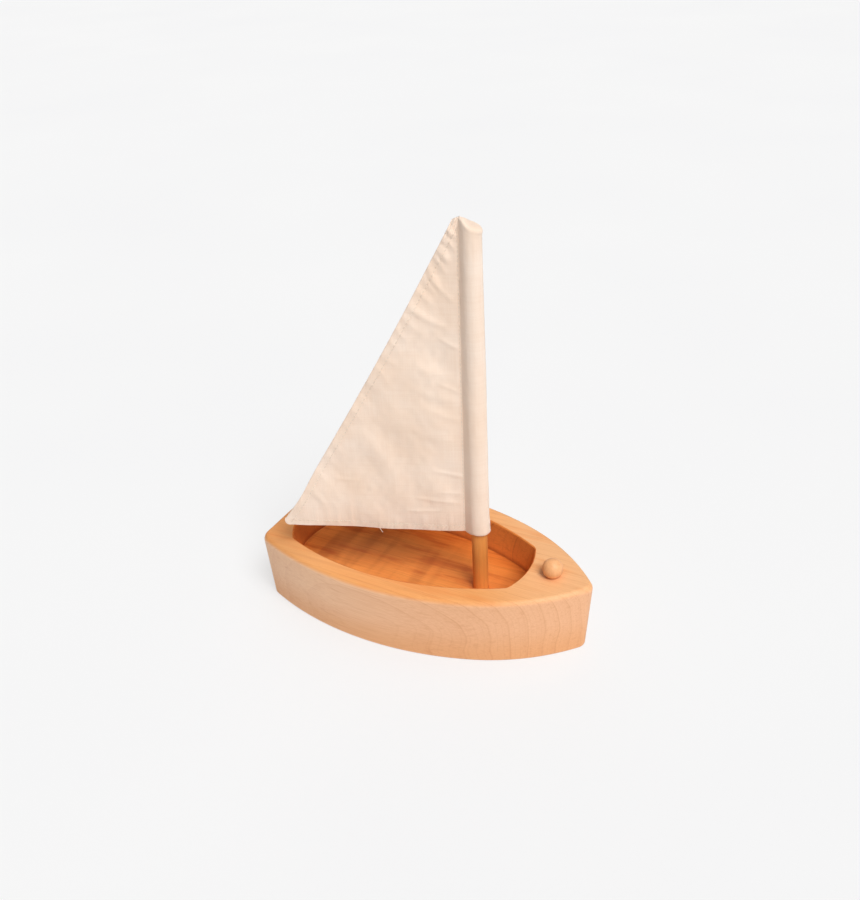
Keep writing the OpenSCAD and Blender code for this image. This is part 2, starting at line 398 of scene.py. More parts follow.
TURNED = wood(
    "peg_wood",
    rgb(245, 190, 142),
    rgb(242, 178, 122),
    rgb(190, 112, 62),
    fibre="Z",
    ring_gap=1.7 * MM,
    pith=(PEG_X + 0.002, -0.001, 0),
)
CANVAS = canvas("sail_canvas")
THREAD = cotton_thread("thread")


# ---- hull

FLARE = 3.2 * MM  # how far the sides lean in at the bottom
WIDEST = -21.7 * MM  # where the hull is widest, from its middle
MID_RADIUS = 211.7 * MM  # of the sides' arcs, from the stern to the shoulders
BOW_RADIUS = 139.4 * MM  # and from the shoulders to the stem
SHOULDER = math.radians(19.0)  # the sides' turn where the two arcs meet
NOSE_ROUND = 7.5 * MM  # of the bow's tip, seen from above
DECK_ROUND = 3.4 * MM
BOTTOM_ROUND = 1.6 * MM
STERN_ROUND = 10.5 * MM
MID_CENTRE = np.array([WIDEST, -(MID_RADIUS - HALF_BEAM)])
BOW_CENTRE = MID_CENTRE + (MID_RADIUS - BOW_RADIUS) * np.array([math.sin(SHOULDER), math.cos(SHOULDER)])


def arc(centre, radius, start, stop, steps):
    """Points on an arc, without its last one."""
    angles = np.linspace(start, stop, steps, endpoint=False)
    return np.stack([centre[0] + radius * np.cos(angles), centre[1] + radius * np.sin(angles)], 1)


def both_sides(half):
    """A closed outline from its port half, which runs from the bow aft, and the half's mirror image."""
    return np.vstack([half, half[1:-1][::-1] * [1, -1]])


def hull_outline(inset):
    """The hull's plan, moved in by inset: anticlockwise from the tip of the bow, all radii tangent."""
    mid, bow = MID_RADIUS - inset, BOW_RADIUS - inset
    nose = NOSE_ROUND - 0.3 * inset
    nose_x = BOW_CENTRE[0] + math.sqrt((bow - nose) ** 2 - BOW_CENTRE[1] ** 2)
    bow_turn = math.atan2(-BOW_CENTRE[1], nose_x - BOW_CENTRE[0])
    stern = -HULL_LENGTH / 2 + 0.8 * inset
    corner = STERN_ROUND - inset
    corner_x = stern + corner
    corner_y = MID_CENTRE[1] + math.sqrt((mid - corner) ** 2 - (corner_x - WIDEST) ** 2)
    stern_turn = math.atan2(corner_y - MID_CENTRE[1], corner_x - WIDEST)
    half = np.vstack(
        [
            arc((nose_x, 0), nose, 0, bow_turn, 14),
            arc(BOW_CENTRE, bow, bow_turn, math.pi / 2 - SHOULDER, 40),
            arc(MID_CENTRE, mid, math.pi / 2 - SHOULDER, stern_turn, 70),
            arc((corner_x, corner_y), corner, stern_turn, math.pi, 14),
            np.stack([np.full(12, stern), np.linspace(corner_y, 0, 12, endpoint=False)], 1),
            [[stern, 0]],
        ]
    )
    return both_sides(half)


WALL_RADIUS = 174.3 * MM  # of the arc of the cockpit's port wall
WALL_CENTRE = np.array([-23 * MM, -129.8 * MM])  # that arc's middle
FOREDECK = 42.3 * MM
AFTDECK = 11.3 * MM
FRONT_END = HULL_LENGTH / 2 - FOREDECK
BACK_END = -HULL_LENGTH / 2 + AFTDECK
END_RADIUS = 52 * MM  # of the arcs of the cockpit's two ends
COCKPIT_CORNER = 5.5 * MM


def cockpit_outline(grow):
    """The cockpit's plan, moved out by grow: anticlockwise from the middle of its front end."""
    wall, bow, corner = WALL_RADIUS + grow, END_RADIUS + grow, COCKPIT_CORNER + grow
    inner, outer = wall - corner, bow - corner
    front_x, back_x = FRONT_END - END_RADIUS, BACK_END + END_RADIUS
    corners = []
    for end_x, way in ((front_x, 1), (back_x, -1)):
        end = np.array([end_x, 0.0])
        between = end - WALL_CENTRE
        span = np.linalg.norm(between)
        unit = between / span
        along = (inner**2 - outer**2 + span**2) / (2 * span)
        across = math.sqrt(inner**2 - along**2)
        centre = WALL_CENTRE + along * unit + across * way * np.array([unit[1], -unit[0]])
        turns = (math.atan2(*(centre - end)[::-1]), math.atan2(*(centre - WALL_CENTRE)[::-1]))
        corners.append((centre, *turns))
    (front, front_turn, wall_start), (back, back_turn, wall_stop) = corners
    back_turn %= 2 * math.pi
    half = np.vstack(
        [
            arc((front_x, 0), bow, 0, front_turn, 24),
            arc(front, corner, front_turn, wall_start, 12),
            arc(WALL_CENTRE, wall, wall_start, wall_stop, 90),
            arc(back, corner, wall_stop, back_turn, 12),
            arc((back_x, 0), bow, back_turn, math.pi, 24),
            [[BACK_END - grow, 0]],
        ]
    )
    return both_sides(half)


def rounding(radius, start, stop, steps):
    """(sideways, upward) steps of a quarter rounding, from one angle to another."""
    for angle in np.linspace(start, stop, steps):
        yield radius * math.cos(angle), radius * math.sin(angle)


def outside_levels():
    """(inset, height) of each loop of the hull's outside, from the deck down to the bottom."""
    lean = math.atan2(FLARE, DECK)
    top = DECK - DECK_ROUND

    def inset(z):
        return FLARE * (DECK - z) / DECK

    yield from (
        (inset(top) + DECK_ROUND / math.cos(lean) - out, top + up)
        for out, up in rounding(DECK_ROUND, math.pi / 2, -lean, 12)
    )
    for z in np.linspace(top, BOTTOM_ROUND, 8)[1:-1]:
        yield inset(z), z
    yield from (
        (inset(BOTTOM_ROUND) + BOTTOM_ROUND / math.cos(lean) - out, BOTTOM_ROUND + up)
        for out, up in rounding(BOTTOM_ROUND, -lean, -math.pi / 2, 7)
    )


def cockpit_levels():
    """(growth, height) of each loop of the cockpit, from the rim down to the floor."""
    soft, floor_soft = 0.9 * MM, 0.6 * MM
    yield from ((soft - out, DECK - soft + up) for out, up in rounding(soft, math.pi / 2, 0, 6))
    low = FLOOR_Z + floor_soft
    for z in np.linspace(DECK - soft, low, 6)[1:-1]:
        yield 0.0, z
    yield from ((out - floor_soft, low + up) for out, up in rounding(floor_soft, 0, -math.pi / 2, 5))


HOLE_STEPS = 48
SOCKET_GAP = 0.05 * MM
STEM_R = 3.0 * MM
PEG_HOLE_R = 3.05 * MM


def circle_loop(x, radius, steps=HOLE_STEPS):
    return arc((x, 0), radius, 0, 2 * math.pi, steps)


def build_hull():
    mesh = bmesh.new()
    outer, routed = 0, 1  # the places of its two materials

    def loop(points, z):
        verts = [mesh.verts.new((p[0], p[1], z)) for p in points]
        for a, b in zip(verts, verts[1:] + verts[:1]):
            mesh.edges.new((a, b))
        return verts

    def skin(upper, lower, material, inward=False):
        for i, a in enumerate(upper):
            j = (i + 1) % len(upper)
            quad = (a, lower[i], lower[j], upper[j])
            face = mesh.faces.new(quad[::-1] if inward else quad)
            face.material_index = material

    def edges_of(verts):
        return [mesh.edges.get((a, b)) for a, b in zip(verts, verts[1:] + verts[:1])]

    def fill(loops, material, up):
        edges = [e for verts in loops for e in edges_of(verts)]
        made = bmesh.ops.triangle_fill(mesh, use_beauty=True, edges=edges, normal=(0, 0, up))
        for face in made["geom"]:
            if isinstance(face, bmesh.types.BMFace):
                face.material_index = material
                if face.normal.z * up < 0:
                    face.normal_flip()

    def wall(levels, outline, material, inward=False):
        rings = [loop(outline(shift), z) for shift, z in levels]
        for upper, lower in zip(rings, rings[1:]):
            skin(upper, lower, material, inward)
        return rings[0], rings[-1]

    def hole(x, radius, top, bottom, material):
        soft = 0.4 * MM
        first = loop(circle_loop(x, radius + soft), top)
        mid = loop(circle_loop(x, radius), top - soft)
        last = loop(circle_loop(x, radius), bottom)
        skin(first, mid, material, inward=True)
        skin(mid, last, material, inward=True)
        fill([last], material, 1)
        return first

    deck_edge, bottom_edge = wall(outside_levels(), hull_outline, outer)
    rim, floor_edge = wall(cockpit_levels(), cockpit_outline, routed, inward=True)
    socket = hole(MAST_X, MAST_R + SOCKET_GAP, FLOOR_Z, mast_low.z, routed)
    peg_hole = hole(PEG_X, PEG_HOLE_R, DECK, peg_low.z, outer)
    fill([deck_edge, rim, peg_hole], outer, 1)
    fill([floor_edge, socket], routed, 1)
    fill([bottom_edge], outer, -1)
    bmesh.ops.recalc_face_normals(mesh, faces=mesh.faces[:])
    made = bpy.data.meshes.new("boat_hull")
    mesh.to_mesh(made)
    mesh.free()
    hull = linked("boat_hull", made)
    made.polygons.foreach_set("use_smooth", [True] * len(made.polygons))
    made.set_sharp_from_angle(angle=math.radians(40))
    made.materials.append(OUTSIDE)
    made.materials.append(ROUTED)
    weighted = hull.modifiers.new("even_shading", "WEIGHTED_NORMAL")
    weighted.keep_sharp = True
    weighted.weight = 80
    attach(hull, "hull")
    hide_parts("hull")


# ---- turned parts

LATHE_STEPS = 96


def lathe(name, profile, x, material):
    """A turned piece: profile is (radius, height) points, from the bottom to the top."""
    points, rings = [], []
    for radius, z in profile:
        if radius < 1e-6:
            rings.append([len(points)])
            points.append((x, 0, z))
            continue
        rings.append(list(range(len(points), len(points) + LATHE_STEPS)))
        points += [(px, py, z) for px, py in circle_loop(x, radius, LATHE_STEPS)]
    faces = []
    for low, high in zip(rings, rings[1:]):
        for i in range(LATHE_STEPS):
            j = (i + 1) % LATHE_STEPS
            if len(low) == 1:
                faces.append((low[0], high[j], high[i]))
            elif len(high) == 1:
                faces.append((low[i], low[j], high[0]))
            else:
                faces.append((low[i], low[j], high[j], high[i]))
    made = object_from(name, points, faces)
    made.data.set_sharp_from_angle(angle=math.radians(50))
    made.data.materials.append(material)
    return made


def build_mast():
    soft = 0.9 * MM
    low, high = mast_low.z, mast_high.z
    profile = [(0, low), (MAST_R - soft, low)]
    profile += [(MAST_R - soft + out, low + soft + up) for out, up in rounding(soft, -math.pi / 2, 0, 6)][1:]
    profile += [(MAST_R, z) for z in np.linspace(low + soft, high - soft, 24)[1:-1]]
    profile += [(MAST_R - soft + out, high - soft + up) for out, up in rounding(soft, 0, math.pi / 2, 6)]
    profile += [(0, high)]
    mast = lathe("dowel_mast", profile, MAST_X, DOWEL)
    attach(mast, "mast")
    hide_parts("mast")


def build_peg():
    centre = peg_high.z - BALL_R
    neck = 3.3 * MM  # the ball's radius where it meets the deck
    start = -math.acos(neck / BALL_R)
    low = DECK - 0.05 * MM
    profile = [(0, peg_low.z), (STEM_R, peg_low.z), (STEM_R, low), (neck, low), (neck, DECK + 0.3 * MM)]
    ball = [(out, centre + up) for out, up in rounding(BALL_R, start, math.pi / 2, 36)]
    profile += [p for p in ball if p[1] > DECK + 0.35 * MM][:-1] + [(0, peg_high.z)]
    peg = lathe("ball_peg", profile, PEG_X, TURNED)
    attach(peg, "hull")
    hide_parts("bow_peg")


# ---- sail

# Lengths on the sail are in millimetres
SWING = math.radians(20)  # how far the sail is turned from straight aft, at rest
TO_CLEW = Vector((-math.cos(SWING), -math.sin(SWING), 0))
TO_STARBOARD = Vector((math.sin(SWING), -math.cos(SWING), 0))
CLOTH = 0.7  # its thickness
LEECH_RUN = math.radians(59.7)  # the leech's slope
FOOT_Z = panel_low.z / MM
HEAD_Z = 267.9  # where the leech ends
HEAD_U = 10.6
PEAK_Z = 270.4  # the top of the cloth
CLEW_ROUND = 3.2
HOLLOW = 2.7  # how far the leech bows in
HEM = 5.0
STITCH_PITCH = 2.7
dice = np.random.default_rng(11)


def on_sail(u, w, z):
    """Points of the sail in the frame: u millimetres from the mast to the clew, w to starboard, z up."""
    u, w, z = np.broadcast_arrays(u, w, z)
    x = MAST_X + MM * (u * TO_CLEW.x + w * TO_STARBOARD.x)
    y = MM * (u * TO_CLEW.y + w * TO_STARBOARD.y)
    return np.stack([x, y, z * MM], -1)


def smooth(low, high, x):
    """0 at low, 1 at high, and an even step between them."""
    t = np.clip((x - low) / (high - low), 0, 1)
    return t * t * (3 - 2 * t)


def down_sail(z):
    """0 at the head and 1 at the foot."""
    return (HEAD_Z - z) / (HEAD_Z - FOOT_Z)


def seam_u(z):
    """Where the sleeve is sewn to the panel."""
    return 6.5 + 1.9 * down_sail(z)


def leech_u(z):
    """The sail's after edge: straight, rounded at the clew and at the head."""
    line = HEAD_U + (HEAD_Z - z) / math.tan(LEECH_RUN) - HOLLOW * 4 * down_sail(z) * (1 - down_sail(z))
    line = line - 1.2 * np.exp(-(((z - FOOT_Z - 22) / 13) ** 2))
    corner = HEAD_U + (HEAD_Z - FOOT_Z) / math.tan(LEECH_RUN) - CLEW_ROUND / math.tan(LEECH_RUN / 2)

    def turned(off):
        return corner + np.sqrt(CLEW_ROUND**2 - np.clip(off, 0, CLEW_ROUND) ** 2)

    above = np.minimum(line, turned(z - FOOT_Z - CLEW_ROUND))
    line = np.where(z < FOOT_Z + CLEW_ROUND * (1 + math.cos(LEECH_RUN)), above, line)
    line = np.where(FOOT_Z + CLEW_ROUND - z > 0, turned(FOOT_Z + CLEW_ROUND - z), line)
    peak = HEAD_U - 4.4 * ((z - HEAD_Z) / (PEAK_Z - HEAD_Z)) ** 2
    return np.where(z > HEAD_Z, peak, line)


WAVES = 9


def waves(u, z, length, seed, slant=0.0):
    """Smooth random waves of about one length, between -1 and 1."""
    pick = np.random.default_rng(seed)
    total = np.zeros(np.broadcast(u, z).shape)
    for _ in range(WAVES):
        way = slant + pick.normal(0, 0.6)
        rate = 2 * math.pi / (length * pick.uniform(0.75, 1.5))
        total += np.sin(rate * (u * math.cos(way) + z * math.sin(way)) + pick.uniform(0, 2 * math.pi))
    return total / math.sqrt(2 * WAVES)


def ridge(u, z, start, end, width, height, bend=0.0):
    """A soft fold that stands height off the cloth, from start to end, fading at both."""
    du, dz = end[0] - start[0], end[1] - start[1]
    length = math.hypot(du, dz)
    along = ((u - start[0]) * du + (z - start[1]) * dz) / length**2
    across = ((u - start[0]) * -dz + (z - start[1]) * du) / length
    across = across - bend * 4 * along * (1 - along)
    fade = smooth(-0.15, 0.25, along) * (1 - smooth(0.6, 1.2, along))
    return height * np.exp(-((across / width) ** 2)) * fade


def puckers():
    """Short folds that the gathered leech hem throws, closest and deepest at the head."""
    down = 4.0
    while down < 205:
        z = HEAD_Z - down * math.sin(LEECH_RUN)
        u = HEAD_U + down * math.cos(LEECH_RUN)
        drop = math.radians(54 + dice.normal(0, 6))
        strength = 0.25 + 0.75 * math.exp(-down / 38)
        length = 5 + min(down, 24) * 0.36 + dice.uniform(-1, 2)
        end = (u - length * math.cos(drop), z - length * math.sin(drop))
        yield (u + 1.2, z + 1.8), end, 1.1 + 0.022 * min(down, 40), strength * dice.uniform(0.7, 1.15)
        down += (5.6 + 0.05 * down) * dice.uniform(0.85, 1.25)


# The longer creases: start, end, width, height and bend, in the sail's own millimetres
CREASES = [
    ((38.5, 219.8), (14.5, 205.5), 2.0, 0.58, 0.9),
    ((20.0, 200.0), (7.0, 192.6), 1.5, 0.45, 0.3),
    ((24.0, 236.0), (9.0, 221.0), 1.8, 0.32, 0.6),
    ((22.0, 171.5), (8.0, 165.5), 1.3, 0.30, 0.2),
    ((35.0, 183.0), (9.0, 173.0), 3.4, 0.34, 0.6),
    ((36.0, 167.0), (10.0, 159.0), 3.0, 0.34, 0.5),
    ((30.0, 155.0), (9.0, 147.0), 2.6, 0.32, 0.4),
    ((38.0, 141.0), (12.0, 131.0), 3.6, 0.34, 0.5),
    ((72.0, 141.0), (50.0, 100.0), 6.5, 0.85, -2.0),
    ((104.0, 97.0), (96.5, 82.5), 2.2, 0.5, 0.4),
    ((90.0, 103.6), (74.0, 102.4), 1.0, 0.22, 0.2),
    ((27.0, 111.6), (7.0, 107.6), 1.3, 0.40, 0.2),
    ((25.0, 96.8), (7.0, 95.2), 1.1, 0.26, 0.2),
    ((39.0, 91.2), (7.0, 87.4), 1.2, 0.34, -0.5),
    ((46.0, 82.0), (22.0, 82.6), 1.0, 0.30, 0.2),
    ((31.0, 190.0), (12.0, 150.0), 6.0, 0.5, 1.5),
    ((60.0, 170.0), (38.0, 128.0), 7.0, 0.45, -1.5),
]
# The deepest folds, by the head, where the cloth is gathered to the mast: the same without a bend
HEAD_FOLDS = [
    ((14.2, 265.0), (10.6, 259.4), 1.1, 0.75),
    ((17.2, 260.4), (13.6, 254.6), 1.2, 0.85),
    ((20.6, 254.6), (13.0, 244.6), 1.5, 0.95),
    ((24.8, 238.2), (17.6, 228.0), 1.6, 0.6),
]


def foot_ripples():
    """Upright ripples over the foot hem: where along it, and how tall."""
    where = 18.0
    while where < 112:
        yield where, dice.uniform(8, 14), dice.uniform(0.18, 0.42), dice.uniform(1.3, 2.2)
        where += dice.uniform(6, 12)


PUCKERS = list(puckers()) + HEAD_FOLDS
RIPPLES = list(foot_ripples())


def set_off(u, z):
    """How far the cloth of the sail's panel stands to starboard of its plane, in millimetres."""
    edge = (leech_u(z) - u) * math.sin(LEECH_RUN)
    inside = smooth(0, 14, u - seam_u(z))
    w = inside * (1.1 * waves(u, z, 62, 5, slant=-0.5) + 0.32 * waves(u, z, 24, 8, slant=-0.9))
    w += 0.07 * waves(u, z, 7, 21) * inside
    for start, end, width, height, bend in CREASES:
        w += ridge(u, z, start, end, width, height, bend)
    for start, end, width, height in PUCKERS:
        w += ridge(u, z, start, end, width, height)
    for where, tall, height, width in RIPPLES:
        up = smooth(0.5, 3, z - FOOT_Z) * np.exp(-(((z - FOOT_Z - 3) / tall) ** 2))
        w += height * np.exp(-(((u - where) / width) ** 2)) * up
    rope = smooth(0.4, 1.6, z - FOOT_Z) * (1 - smooth(3.6, 5.4, z - FOOT_Z))
    slant = 2 * math.pi * (u + 0.7 * (z - FOOT_Z)) / STITCH_PITCH
    w += 0.23 * rope * np.sin(slant) * smooth(100, 60, u) * smooth(6, 12, u)
    w -= 0.25 * np.exp(-(((z - FOOT_Z - HEM + 0.6) / 0.5) ** 2)) * smooth(110, 60, u)
    w -= 0.13 * np.exp(-(((edge - HEM + 0.6) / 0.5) ** 2))
    gathered = smooth(256, 268, z) * smooth(0.5, 3, u - seam_u(z))
    w += 0.45 * gathered * np.sin(2 * math.pi * (u + 0.45 * z) / 2.3)
    return w * smooth(-0.2, 1.5, u - seam_u(z)) - 0.25 * np.exp(-(((u - seam_u(z) - 0.9) / 0.8) ** 2))


def thick_sheet(name, points, uv, thickness, material, ring=False):
    """Cloth of a real thickness over a grid of points: two faces, with a blunt edge round them.

    ring joins the last column to the first, and gathers the last row to its middle.
    """
    rows, columns = points.shape[:2]
    if ring:
        across = np.roll(points, -1, 1) - np.roll(points, 1, 1)
    else:
        across = np.gradient(points, axis=1)
    upward = np.gradient(points, axis=0)
    normal = np.cross(across, upward)
    normal /= np.maximum(np.linalg.norm(normal, axis=2, keepdims=True), 1e-12)
    half = thickness * MM / 2
    front = (points + normal * half).reshape(-1, 3)
    back = (points - normal * half).reshape(-1, 3)
    verts = [front, back]
    uvs = [uv.reshape(-1, 2), uv.reshape(-1, 2)]
    count = rows * columns
    faces = grid_faces(rows, columns, ring)
    faces += [tuple(reversed(f)) for f in grid_faces(rows, columns, ring, count)]
    if ring:
        border = list(range(columns))
        inner = [columns + c for c in border]
        top = (rows - 1) * columns
        middle = points[-1].mean(0)
        outward = normal[-1].mean(0)
        outward = outward / np.linalg.norm(outward) * half
        tip = 2 * count
        verts.append(np.array([middle + outward, middle - outward]))
        uvs.append(np.array([uv[-1].mean(0)] * 2))
        for c in range(columns):
            d = (c + 1) % columns
            faces.append((top + c, top + d, tip))
            faces.append((count + top + d, count + top + c, tip + 1))
    else:
        bottom = [(0, c) for c in range(columns)]
        right = [(r, columns - 1) for r in range(1, rows)]
        upper = [(rows - 1, c) for c in range(columns - 2, -1, -1)]
        left = [(r, 0) for r in range(rows - 2, 0, -1)]
        walk = bottom + right + upper + left
        border = [r * columns + c for r, c in walk]
        inner = [min(max(r, 1), rows - 2) * columns + min(max(c, 1), columns - 2) for r, c in walk]
    flat = points.reshape(-1, 3)
    out = flat[border] - flat[inner]
    out /= np.maximum(np.linalg.norm(out, axis=1, keepdims=True), 1e-12)
    first = sum(len(v) for v in verts)
    verts.append(flat[border] + out * half)
    uvs.append(uv.reshape(-1, 2)[border])
    for i, a in enumerate(border):
        j = (i + 1) % len(border)
        b = border[j]
        faces.append((a, first + i, first + j, b))
        faces.append((first + i, count + a, count + b, first + j))
    made = object_from(name, np.vstack(verts), faces)
    set_uv(made, np.vstack(uvs))
    made.data.materials.append(material)
    return made


def panel_rows():
    """Heights of the panel's rows: close at the rounded clew and at the head."""
    foot = FOOT_Z + CLEW_ROUND * (1 - np.cos(np.linspace(0, math.pi / 2, 16)))
    body = np.arange(foot[-1] + 0.9, HEAD_Z, 0.9)
    head = np.linspace(HEAD_Z, PEAK_Z, 6)
    return np.concatenate([foot, body, head])


def hem_path(inside):
    """Across a folded hem, from its edge inward on the port side: (distance in, set to starboard)."""
    for angle in np.linspace(math.pi / 2, -math.pi / 2, 9):
        yield 0.72 - 0.72 * math.cos(angle), -0.42 + 0.80 * math.sin(angle)
    for step in np.linspace(1.6, inside - 0.5, 6):
        yield step, -1.24
    yield inside - 0.1, -1.12
    yield inside, -0.85
    yield inside, -0.38
    yield 1.0, -0.30


def build_panel():
    z = panel_rows()[:, None]
    share = np.linspace(0, 1, 132) ** 0.97
    start = seam_u(z) - 0.5
    u = start + (leech_u(z) - 0.35 - start) * share[None, :]
    z = np.broadcast_to(z, u.shape).copy()
    z[z < FOOT_Z + 0.35] = FOOT_Z + 0.35
    points = on_sail(u, set_off(u, z), z)
    panel = thick_sheet("sail_cloth", points, np.stack([u, z], -1) * MM, CLOTH, CANVAS)
    panel.data.set_sharp_from_angle(angle=math.radians(70))
    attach(panel, "sail")
    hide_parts("sail_panel")
    return panel


def sweep(name, rings, uv, material):
    """A closed solid through rings of points, with its two ends filled."""
    made = object_from(name, rings.reshape(-1, 3), closed_tube(*rings.shape[:2]))
    set_uv(made, uv.reshape(-1, 2))
    made.data.materials.append(material)
    bm = bmesh.new()
    bm.from_mesh(made.data)
    bmesh.ops.recalc_face_normals(bm, faces=bm.faces[:])
    bm.to_mesh(made.data)
    bm.free()
    made.data.set_sharp_from_angle(angle=math.radians(60))
    return made


def run_along(line):
    """How far along a line of points each one is."""
    return np.concatenate([[0], np.cumsum(np.linalg.norm(np.diff(line, axis=0), axis=1))])


def unit_along(line):
    along = np.gradient(line, axis=0)
    return along / np.linalg.norm(along, axis=1, keepdims=True)


def with_inward(line):
    """A line of (u, z) points, and the way into the cloth at each."""
    along = unit_along(line)
    return line, np.stack([-along[:, 1], along[:, 0]], 1)


def edge_hem(name, node, edge, inward, material):
    """A hem folded to port along an edge: edge (n, 2) holds its (u, z) points, inward the way in."""
    path = np.array(list(hem_path(HEM)))
    u = edge[:, None, 0] + inward[:, None, 0] * path[None, :, 0]
    z = edge[:, None, 1] + inward[:, None, 1] * path[None, :, 0]
    w = set_off(np.maximum(u, seam_u(z)), np.maximum(z, FOOT_Z + 0.3)) + path[None, :, 1]
    uv = np.stack(np.broadcast_arrays(run_along(edge)[:, None], run_along(path)[None, :]), -1) * MM
    hem = sweep(name, on_sail(u, w, z), uv, material)
    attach(hem, "sail")
    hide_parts(node)
    return hem


def leech_line():
    """Points and inward ways along the leech, from the clew's rounding up to the head."""
    clew = FOOT_Z + CLEW_ROUND + np.linspace(0.2, 3, 6)
    z = np.concatenate([clew, np.arange(FOOT_Z + 9, PEAK_Z - 0.6, 0.9)])
    return with_inward(np.stack([leech_u(z), z], 1))


def foot_line():
    """The same along the foot, from the seam round the clew."""
    straight = leech_u(np.array([FOOT_Z]))[0]
    u = np.arange(seam_u(FOOT_Z) - 0.4, straight, 0.8)
    line = np.stack([u, np.full(len(u), FOOT_Z)], 1)
    turn = np.linspace(0, math.pi - LEECH_RUN, 16)[1:]
    clew = [straight + CLEW_ROUND * np.sin(turn), FOOT_Z + CLEW_ROUND * (1 - np.cos(turn))]
    return with_inward(np.vstack([line, np.stack(clew, 1)]))


def sleeve_radius(z, angle):
    """Middle of the sleeve's cloth from the mast's axis; angle 0 is at the seam, pi at the luff."""
    down = down_sail(z)
    luff = smooth(0.3, 2.6, np.abs(angle))
    radius = 5.52 + 0.75 * down + 0.12 * np.sin(z / 23) * luff
    radius = radius + 0.35 * smooth(FOOT_Z + 20, FOOT_Z, z) * luff
    radius = radius + 0.35 * np.exp(-(((z - MAST_TOP / MM - 0.3) / 1.1) ** 2)) * luff
    folds = 0.10 * waves(angle * 6, z, 34, 31, slant=1.2) + 0.05 * waves(angle * 6, z, 9, 33, slant=1.0)
    return radius + folds * smooth(0, 0.5, down) + 0.04 * waves(angle * 6, z, 6, 35)


def build_sleeve():
    angles = np.linspace(-math.pi, math.pi, 97)[:-1]
    angles = np.sign(angles) * np.abs(angles) ** 1.15 * math.pi ** -0.15
    shoulder = MAST_TOP / MM + 0.5
    upper = np.linspace(shoulder - 3.7, shoulder, 9)
    z = np.concatenate([np.arange(FOOT_Z - 0.3, shoulder - 4, 1.1), upper])[:, None]
    angle = angles[None, :]
    radius = sleeve_radius(z, angle)
    seam = seam_u(z)
    flank = np.arccos(np.clip(radius / seam, 0, 0.999))
    share = np.clip(np.abs(angle) / flank, 0, 1)
    near = np.abs(angle) < flank
    u = np.where(near, seam + (radius * np.cos(flank) - seam) * share, radius * np.cos(angle))
    w = np.where(near, radius * np.sin(flank) * share, radius * np.sin(np.abs(angle))) * np.sign(angle)
    z = np.broadcast_to(z, u.shape).copy()
    z = z + (0.3 + 1.5 * smooth(0.2, 1.2, np.abs(angle))) * smooth(FOOT_Z + 14, FOOT_Z, z)
    cap_u, cap_w, cap_z = [u], [w], [z]
    soft = 1.7
    steps = list(rounding(soft, 0, math.pi / 2, 7))[1:]
    reach = np.hypot(u[-1], w[-1])
    for out, up in steps:
        shrink = (reach - soft + out) / reach
        cap_u.append((u[-1] * shrink)[None])
        cap_w.append((w[-1] * shrink)[None])
        cap_z.append((z[-1] + up)[None])
    for size in np.linspace(0.75, 0.06, 10):
        rise = 0.25 * (1 - (size / 0.8) ** 2)
        cap_u.append((u[-1] * size)[None])
        cap_w.append((w[-1] * size)[None])
        cap_z.append((z[-1] + soft + rise)[None])
    u, w, z = (np.vstack(a) for a in (cap_u, cap_w, cap_z))
    slant = smooth(shoulder - 14, shoulder + 1, z)
    dents = 0.16 * waves(u, w, 4, 41) * smooth(shoulder, shoulder + 2, z)
    z = z + slant * (0.34 * (u + 5.5) + 2.4 * smooth(0, 7, u)) + dents
    steps_up = np.linalg.norm(np.diff(np.stack([u, w, z]), axis=1), axis=0).mean(1)
    length = np.concatenate([[0], np.cumsum(steps_up)])
    girth = angles * 6.2  # about the sleeve's radius
    uv = np.stack(np.broadcast_arrays(girth[None, :], length[:, None]), -1) * MM
    sleeve = thick_sheet("mast_sleeve", on_sail(u, w, z), uv, CLOTH, CANVAS, ring=True)
    sleeve.data.set_sharp_from_angle(angle=math.radians(70))
    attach(sleeve, "sail")
    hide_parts("sail_sleeve", "sail_head")
    return sleeve


def build_flap():
    """The sleeve's inner edge, lapped over the panel's port side and sewn down."""
    z = np.concatenate([np.arange(FOOT_Z - 0.2, 262, 1.2), [262]])[:, None]
    share = np.linspace(0, 1, 12)[None, :]
    wide = 9 - 3.5 * smooth(240, 262, z)
    u = seam_u(z) - 0.8 + (wide + 0.8) * share
    z = np.broadcast_to(z, u.shape).copy()
    lift = 0.30 * smooth(0.75, 1, share) * (1 + 0.6 * waves(u, z, 18, 51))
    w = set_off(u, z) - CLOTH * 1.02 - np.maximum(lift, 0) - 0.9 * np.exp(-((share * wide / 1.2) ** 2))
    w = w + 0.55 * smooth(FOOT_Z + 7.5, FOOT_Z + 4, z) * -1
    points = on_sail(u, w, z)
    flap = thick_sheet("sleeve_flap", points, np.stack([u, z], -1) * MM, CLOTH * 0.85, CANVAS)
    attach(flap, "sail")
    return flap


THREAD_R = 0.24 * MM
LOOSE_R = 0.17 * MM  # of the loose end
THREAD_SIDES = 6
STITCH_POINTS = 7


def stitch_tube(line, radius):
    """Points and faces of one stitch: a thin thread along line (n, 3), closed and thin at both ends."""
    along = unit_along(line)
    up = np.array([0.13, 0.31, 0.94])
    side = np.cross(along, up)
    side /= np.linalg.norm(side, axis=1, keepdims=True)
    other = np.cross(along, side)
    share = np.linspace(-1, 1, len(line))
    size = radius * np.sqrt(np.clip(1 - share**6 * 0.96, 0, 1))
    turn = np.linspace(0, 2 * math.pi, THREAD_SIDES, endpoint=False)
    ring = np.cos(turn)[None, :, None] * side[:, None] + np.sin(turn)[None, :, None] * other[:, None]
    points = (line[:, None] + ring * size[:, None, None]).reshape(-1, 3)
    return points, closed_tube(len(line), THREAD_SIDES)


